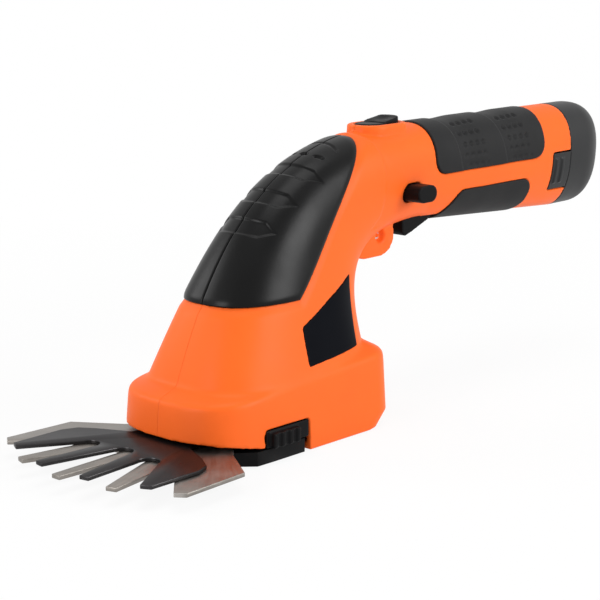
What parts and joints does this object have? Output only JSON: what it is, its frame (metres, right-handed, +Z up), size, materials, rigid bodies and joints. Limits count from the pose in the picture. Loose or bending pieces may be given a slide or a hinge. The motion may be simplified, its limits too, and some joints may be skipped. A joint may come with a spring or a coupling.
{
  "type": "cordless grass shears",
  "caption": "Cordless grass shears: fan-shaped toothed blades under a geared base, a leaning body with a straight handle, trigger and lock-off, and a slide-out battery pack.",
  "frame": {"origin": "On the ground under the blade pivot, on the flat underside of the blade carrier.", "axes": "-X points forward to the blades, +X back along the handle, +Z up, -Y is the left side with the lock-off button standing out."},
  "size_m": [0.3006, 0.0906, 0.1101],
  "materials": {
    "orange_shell": "moulded satin plastic",
    "black_cover": "moulded gloss plastic",
    "side_plate": "smooth plate",
    "soft_grip": "soft-touch overmould",
    "black_plastic": "moulded plastic",
    "battery_plastic": "moulded plastic",
    "cast_frame": "die-cast zinc",
    "magnet": "ferrite",
    "winding": "wound core",
    "steel": "ground steel",
    "coated_steel": "dark coating",
    "brass": "turned",
    "gear_plastic": "moulded nylon",
    "board": "circuit board",
    "lead": "insulated wire",
    "cell_wrap": "wrapped cell"
  },
  "bodies": {
    "housing": {"left_housing": "orange_shell", "right_housing": "orange_shell", "left_front_cover": "black_cover", "right_front_cover": "black_cover", "left_side_plate": "side_plate", "right_side_plate": "side_plate", "top_grip": "soft_grip", "lower_grip": "soft_grip", "housing_screws": "steel", "gearbox_frame": "cast_frame", "gear_cover": "black_plastic", "gear_cover_screws": "steel", "motor_can": "steel", "motor_magnets": "magnet", "motor_cap": "black_plastic", "motor_screws": "steel", "shaft_bush": "brass", "trigger_pin": "steel", "trigger_spring": "steel", "power_switch": "black_plastic", "lock_off_spring": "steel", "thumb_spring": "steel", "control_board": "board", "motor_leads": "lead", "battery_leads": "lead", "contact_block": "black_plastic", "contact_blades": "brass"},
    "motor_rotor": {"motor_armature": "winding", "motor_shaft": "steel", "pinion": "brass"},
    "crank": {"gear_shaft": "steel", "shaft_clip": "coated_steel", "drive_gear": "gear_plastic", "crank_pin": "steel", "crank_roller": "brass"},
    "blade_set": {"blade_carrier": "black_plastic", "lower_blade": "steel", "pivot_post": "steel", "blade_rivets": "steel", "left_release_spring": "steel", "right_release_spring": "steel"},
    "swing_blade": {"upper_blade": "coated_steel"},
    "left_release": {"left_release_button": "black_plastic"},
    "right_release": {"right_release_button": "black_plastic"},
    "trigger": {"trigger": "black_plastic"},
    "lock_off": {"lock_off_button": "black_plastic"},
    "thumb": {"thumb_button": "black_plastic"},
    "battery": {"battery_case": "battery_plastic", "battery_cells": "cell_wrap", "protection_board": "board", "terminal_clips": "brass", "left_latch_spring": "steel", "right_latch_spring": "steel"},
    "left_latch": {"left_battery_latch": "battery_plastic"},
    "right_latch": {"right_battery_latch": "battery_plastic"}
  },
  "joints": [
    {"name": "crank_spin", "type": "hinge", "parent": "housing", "child": "crank", "pos_m": [0.022, 0, 0.0135], "axis": [0, 0, 1], "range_deg": [-90, 90]},
    {"name": "motor_spin", "type": "hinge", "parent": "housing", "child": "motor_rotor", "pos_m": [0.04516, 0, 0.0135], "axis": [0, 0, 1], "range_deg": [-405, 405]},
    {"name": "blade_release", "type": "slide", "parent": "housing", "child": "blade_set", "axis": [0, 0, -1], "range_m": [0, 0.03]},
    {"name": "blade_swing", "type": "hinge", "parent": "blade_set", "child": "swing_blade", "pos_m": [0, 0, 0.0073], "axis": [0, 0, 1], "range_deg": [-9.2, 9.2]},
    {"name": "left_release_press", "type": "slide", "parent": "blade_set", "child": "left_release", "axis": [0, 1, 0], "range_m": [0, 0.0025], "stiffness_N_per_m": 800, "springref_m": -0.001, "deforming": ["left_release_spring"]},
    {"name": "right_release_press", "type": "slide", "parent": "blade_set", "child": "right_release", "axis": [0, -1, 0], "range_m": [0, 0.0025], "stiffness_N_per_m": 800, "springref_m": -0.001, "deforming": ["right_release_spring"]},
    {"name": "trigger_pull", "type": "hinge", "parent": "housing", "child": "trigger", "pos_m": [0.124, 0, 0.0755], "axis": [0, 1, 0], "range_deg": [0, 9], "stiffness_Nm_per_rad": 0.2, "springref_deg": -5.73, "deforming": ["trigger_spring"]},
    {"name": "lock_off_push", "type": "slide", "parent": "housing", "child": "lock_off", "axis": [0, 1, 0], "range_m": [0, 0.005], "stiffness_N_per_m": 500, "springref_m": -0.001, "deforming": ["lock_off_spring"]},
    {"name": "thumb_press", "type": "slide", "parent": "housing", "child": "thumb", "axis": [0, 0, -1], "range_m": [0, 0.002], "stiffness_N_per_m": 700, "springref_m": -0.001, "deforming": ["thumb_spring"]},
    {"name": "battery_slide", "type": "slide", "parent": "housing", "child": "battery", "axis": [1, 0, 0], "range_m": [0, 0.07]},
    {"name": "left_latch_press", "type": "slide", "parent": "battery", "child": "left_latch", "axis": [0, 1, 0], "range_m": [0, 0.0012], "stiffness_N_per_m": 900, "springref_m": -0.001, "deforming": ["left_latch_spring"]},
    {"name": "right_latch_press", "type": "slide", "parent": "battery", "child": "right_latch", "axis": [0, -1, 0], "range_m": [0, 0.0012], "stiffness_N_per_m": 900, "springref_m": -0.001, "deforming": ["right_latch_spring"]}
  ],
  "couplings": [
    {"joint": "motor_spin", "follows": "crank_spin", "ratio": -4.5},
    {"joint": "blade_swing", "follows": "crank_spin", "ratio": 0.10222}
  ]
}
